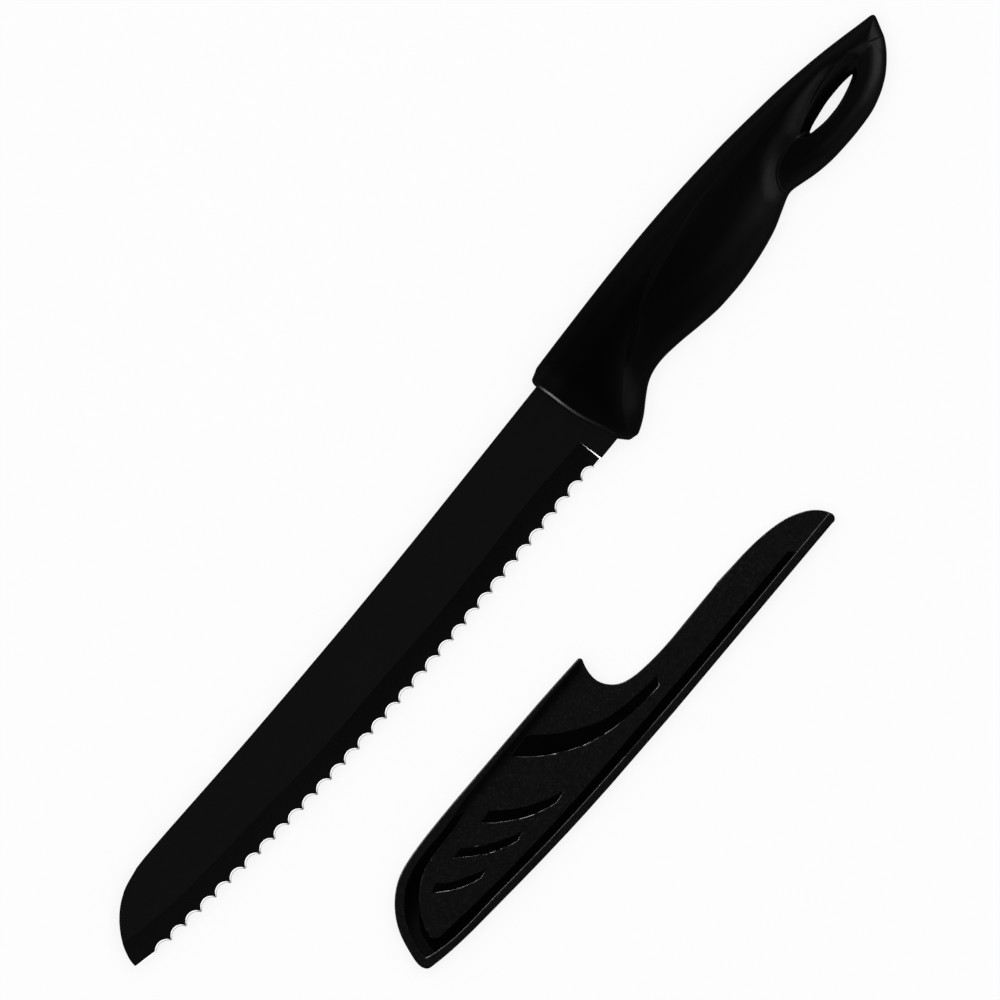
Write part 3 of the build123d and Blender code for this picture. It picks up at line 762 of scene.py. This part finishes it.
def groove_light_and_shade_material():
    """Groove floors: smooth, with a dark base as painted shade, but with grain and a lighter base
    as painted light at the guard's low-y end.
    """
    material, shader = new_material("groove_plastic_painted_light_and_shade")
    place = shader.coords()
    axes = shader.axes()
    # the grain and the painted light start at this y and are full 6 mm lower; the deeper channel
    # has neither
    grain_and_light_top = (ORIGIN_Y - 48.5) / 1000.0
    fade = 6.0
    low_end = shader.scaled(axes["Y"], by=-1000.0 / fade, plus=grain_and_light_top * 1000.0 / fade,
                            clamp=True)
    off_parting = shader.math("ABSOLUTE", shader.math("SUBTRACT", axes["Z"],
                                                      PARTING_Z / 1000.0))
    shallow = shader.math("GREATER_THAN", off_parting, 0.00255)
    grain_and_painted_light = shader.math("MULTIPLY", low_end, shallow)
    broad = shader.noise(place, scale=60.0)
    grain = shader.noise(place, scale=3100.0, detail=2.0, rough=0.6)
    # painted shade: the smooth floors get a darker base than the outer plastic; at the low-y end
    # the grain patch gets a lighter base as painted light
    smooth = shader.mix(broad, low=(0.0010, 0.0010, 0.0011), high=(0.0020, 0.0020, 0.0021))
    shader.finish({
        "Base Color": shader.mix(grain_and_painted_light, low=smooth, high=(0.0060, 0.0060, 0.0062)),
        "Roughness": shader.scaled(grain_and_painted_light, by=0.22, plus=0.16),
        "Specular IOR Level": 0.35,
        "Normal": shader.bump(grain, strength=0.25, distance=0.00003)})
    return material


COATING = coating_material()
STEEL = bare_steel_material()
MOULDING = handle_material()
GRAINED = guard_material()
CAVITY_MATT_AND_SHADE = cavity_matt_and_shade_material()
GROOVE_LIGHT_AND_SHADE = groove_light_and_shade_material()
RAMP = ramp_material()

# --------------------------------------------------------------------------
# Blade: the CAD piece, coated, with bare steel where it was ground
# --------------------------------------------------------------------------
BEVEL_END_X = 195.79
RAMP_END_X = 196.9


def blade_slot(x, y, normal):
    """Material slot of a blade face: 0 coating, 1 bare steel, 2 ramp."""
    if BEVEL_END_X < x < RAMP_END_X and y < 2.5 and normal.x < -0.35:
        return 2
    # scallops, tip and heel facets
    if -1.0 < x < BEVEL_END_X and y < 3.0 and 0.25 < abs(normal.z) < 0.9:
        return 1
    return 0


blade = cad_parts["blade"]
blade.data.materials.clear()
for material in (COATING, STEEL, RAMP):
    blade.data.materials.append(material)
for face in blade.data.polygons:
    face.material_index = blade_slot(face.center.x * 1000 - ORIGIN_X,
                                     face.center.y * 1000 - ORIGIN_Y, face.normal)

# --------------------------------------------------------------------------
# Handle
# --------------------------------------------------------------------------
handle = build_handle()
handle.data.materials.append(MOULDING)
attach(handle, "knife")
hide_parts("handle")

# --------------------------------------------------------------------------
# Guard: the two shells, with the moulded edges rounded over
# --------------------------------------------------------------------------
# kind of edge, rounding (m), segments; edges along the groove and on the parting
# plane only lose their sharpness
GUARD_BEVELS = (("groove", 0.00012, 2), ("outer", 0.00034, 3), ("parting", 0.00007, 1))
SHARP_ANGLE = math.radians(35)
CAVITY_TOP = 2.75        # mm off the parting plane


def off_parting(point):
    """Signed distance from the parting plane, mm."""
    return point.z * 1000 - PARTING_Z


def edge_kind(edge):
    """Which of the moulding's edges this is."""
    heights = [abs(off_parting(vert.co)) for vert in edge.verts]
    if all(height < 0.02 for height in heights):
        return "parting"
    walls = [face for face in edge.link_faces if abs(face.normal.z) < 0.5]
    on_face = all(3.35 < height < 3.45 for height in heights)
    if on_face and walls and abs(off_parting(walls[0].calc_center_median())) > CAVITY_TOP:
        return "groove"
    return "outer"


def rounded_mesh(source, name):
    """Cleaned copy of a shell's mesh with its sharp convex edges rounded."""
    bm = bmesh.new()
    bm.from_mesh(source)
    bmesh.ops.remove_doubles(bm, verts=bm.verts, dist=0.00010)
    bmesh.ops.recalc_face_normals(bm, faces=bm.faces)
    bmesh.ops.dissolve_limit(bm, angle_limit=math.radians(0.8), verts=bm.verts,
                             edges=bm.edges)
    bm.normal_update()
    for kind, width, segments in GUARD_BEVELS:
        edges = [edge for edge in bm.edges
                 if len(edge.link_faces) == 2 and edge.is_convex
                 and edge.calc_face_angle(0.0) >= SHARP_ANGLE and edge_kind(edge) == kind]
        bmesh.ops.bevel(bm, geom=edges, offset=width, offset_type="OFFSET",
                        affect="EDGES", segments=segments, profile=0.5,
                        clamp_overlap=False, loop_slide=True)
    bmesh.ops.remove_doubles(bm, verts=bm.verts, dist=0.00001)
    bmesh.ops.dissolve_degenerate(bm, edges=bm.edges, dist=0.000005)
    bmesh.ops.recalc_face_normals(bm, faces=bm.faces)
    for face in bm.faces:
        face.smooth = True
    mesh = bpy.data.meshes.new(name)
    bm.to_mesh(mesh)
    bm.free()
    return mesh


def build_shell(node, name, outward):
    """Guard shell; outward is +1 if it lies above the parting plane, else -1."""
    mesh = rounded_mesh(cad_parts[node].data, name)
    shell = add_object(name, mesh)
    for material in (GRAINED, CAVITY_MATT_AND_SHADE, GROOVE_LIGHT_AND_SHADE):
        mesh.materials.append(material)
    for face in mesh.polygons:
        height = off_parting(face.center) * outward
        facing_out = face.normal.z * outward
        # the cavity's inner faces take the matt material with painted shade; the groove floors
        # take the one with painted light and shade
        if 0.5 < height < CAVITY_TOP and facing_out < -0.5:
            face.material_index = 1      # inner faces of the cavity
        elif 2.15 < height < 3.0 and facing_out > 0.9:
            face.material_index = 2      # floors of the groove and its channel
    normals = shell.modifiers.new("normals", "WEIGHTED_NORMAL")
    normals.keep_sharp = False
    normals.weight = 60
    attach(shell, "guard")
    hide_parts(node)
    return shell


guard_parts = [build_shell("guard_front_shell", "guard_front_moulding", 1),
               build_shell("guard_back_shell", "guard_back_moulding", -1)]

# --------------------------------------------------------------------------
# Stage
# --------------------------------------------------------------------------
scene.view_settings.view_transform = "Standard"
scene.view_settings.look = "None"


def build_floor():
    bpy.ops.mesh.primitive_plane_add(size=60.0, location=(0, 0, -0.0002))
    plane = bpy.context.object
    plane.name = "floor"
    material, shader = new_material("pale_floor")
    shader.finish({
        "Base Color": (0.86, 0.86, 0.86),
        "Roughness": 0.9,
        "Specular IOR Level": 0.1,
        "Emission Color": (1, 1, 1),
        "Emission Strength": 0.82})
    plane.data.materials.append(material)
    plane.visible_glossy = False
    return plane


def build_world():
    """A dim studio round the object, a bright paper backdrop for the camera."""
    world = bpy.data.worlds.new("studio")
    scene.world = world
    world.use_nodes = True
    shader = Shader(world.node_tree, output="ShaderNodeOutputWorld",
                    surface="ShaderNodeBackground")
    upward = shader.scaled(shader.axes("Generated")["Z"], by=0.5, plus=0.5)
    sky = shader.ramp(upward, stops=[(0.0, 0.02), (0.47, 0.03), (0.52, 0.08),
                                     (0.70, 0.08), (0.90, 0.035), (1.0, 0.02)])
    to_camera = shader.add("ShaderNodeLightPath", {}).outputs["Is Camera Ray"]
    shader.finish({"Color": shader.mix(to_camera, low=sky, high=(0.88, 0.88, 0.88))})


floor = build_floor()
build_world()

# --------------------------------------------------------------------------
# Lights
# --------------------------------------------------------------------------
ROLL = math.radians(50.6)            # turn of the camera about the vertical
VIEW_RIGHT = Vector((math.cos(ROLL), -math.sin(ROLL), 0))
VIEW_UP = Vector((math.sin(ROLL), math.cos(ROLL), 0))
CAMERA_HEIGHT = 3.0
CAMERA_AIM = to_row(168.65, 3.9, 0)
OVERHEAD = 1.2                       # height of the panels that face straight down


def group(name, objects):
    collection = bpy.data.collections.new(name)
    for member in objects:
        collection.objects.link(member)
    return collection


def panel(name, location, size, radiance, lit, blockers=None):
    """Rectangular light facing down that lights one group only."""
    light = bpy.data.lights.new(name, "AREA")
    light.shape = "RECTANGLE"
    light.size, light.size_y = size
    light.energy = radiance * math.pi * size[0] * size[1]
    lamp = add_object(name, light)
    lamp.location = location
    lamp.visible_camera = False
    lamp.light_linking.receiver_collection = lit
    if blockers is not None:
        lamp.light_linking.blocker_collection = blockers
    return lamp


def aimed_panel(name, aim, bearing, elevation, distance, *rest):
    """Panel at a clock bearing in the view (0 up, 90 right), facing aim."""
    bearing, elevation = math.radians(bearing), math.radians(elevation)
    outward = (VIEW_UP * math.cos(bearing) + VIEW_RIGHT * math.sin(bearing)) * math.cos(elevation)
    outward = outward + Vector((0, 0, math.sin(elevation)))
    lamp = panel(name, Vector(aim) + outward * distance, *rest)
    lamp.rotation_euler = (-outward).to_track_quat("-Z", "Y").to_euler()


FLOOR = group("floor_only", [floor])
KNIFE = group("knife_only", [handle, blade])
HANDLE = group("handle_only", [handle])
BLADE = group("blade_only", [blade])
GUARD = group("guard_only", guard_parts)

at_centre = (0.0, 0.03, 0.0)
at_guard = to_row(135, -60, 7)
at_handle = to_row(265, 4, 12)
at_blade = to_row(100, 3, 8)
at_collar = to_row(201, 11, 12)
at_ramp = to_row(196, 3, 8)

# name, aim, bearing and elevation (degrees), distance (m), size (m), radiance,
# group it lights, group that casts its shadows (all objects if left out)
AIMED_PANELS = (
    ("paper_light", at_centre, 0, 88, 1.8, (1.6, 1.6), 0.72, FLOOR),
    ("guard_top", at_guard, -18, 8, 1.1, (0.42, 0.14), 104.0, GUARD, GUARD),
    ("guard_left", at_guard, -70, 6, 1.1, (0.45, 0.12), 74.0, GUARD, GUARD),
    ("guard_soft", at_guard, -30, 52, 1.2, (1.0, 0.8), 0.03, GUARD),
    ("guard_fill", at_guard, 150, 40, 1.1, (0.8, 0.6), 0.22, GUARD),
    ("knife_right", at_handle, 73, 36, 1.2, (0.8, 0.9), 0.50, KNIFE),
    ("belly_fill", at_handle, 95, 66, 1.2, (0.5, 0.5), 0.10, HANDLE),
    ("knife_left", at_handle, -70, 60, 1.3, (0.7, 0.5), 0.06, KNIFE),
    ("collar_low", at_collar, 226, -4, 0.5, (0.12, 0.02), 46.0, HANDLE, HANDLE),
    ("ramp_low", at_ramp, 226, -3, 0.5, (0.12, 0.02), 85.0, BLADE, HANDLE),
    ("edge_low", at_blade, 138, 15, 0.5, (1.3, 0.25), 1.6, BLADE),
)
for entry in AIMED_PANELS:
    aimed_panel(*entry)

# placed where the camera sees it mirrored in the blade's flats; the hollow bevels
# tip away from it
mirror_share = OVERHEAD / CAMERA_HEIGHT
strip_place = (Vector(to_row(100, 6, 8)) * (1 + mirror_share)
               - Vector(CAMERA_AIM) * mirror_share)
strip_place.z = OVERHEAD
panel("blade_strip", strip_place, size=(0.62, 0.26), radiance=0.14, lit=BLADE)

# lightens the bevel towards the tip
panel("tip_panel", (-0.26, -0.24, OVERHEAD), size=(0.20, 0.30), radiance=0.06, lit=BLADE)

# --------------------------------------------------------------------------
# Camera: straight down, long lens, the knife from lower left to upper right
# --------------------------------------------------------------------------
SENSOR_WIDTH = 36.0
VIEW_WIDTH = 0.285                   # m seen across at the blade's middle plane

camera_data = bpy.data.cameras.new("camera")
camera = add_object("camera", camera_data)
camera_data.sensor_width = SENSOR_WIDTH
camera_data.lens = SENSOR_WIDTH * (CAMERA_HEIGHT - BLADE_MID_Z / 1000.0) / VIEW_WIDTH
camera_data.clip_end = 100.0
camera.matrix_world = Matrix((
    (VIEW_RIGHT.x, VIEW_UP.x, 0, CAMERA_AIM[0]),
    (VIEW_RIGHT.y, VIEW_UP.y, 0, CAMERA_AIM[1]),
    (0, 0, 1, CAMERA_HEIGHT),
    (0, 0, 0, 1)))
scene.camera = camera
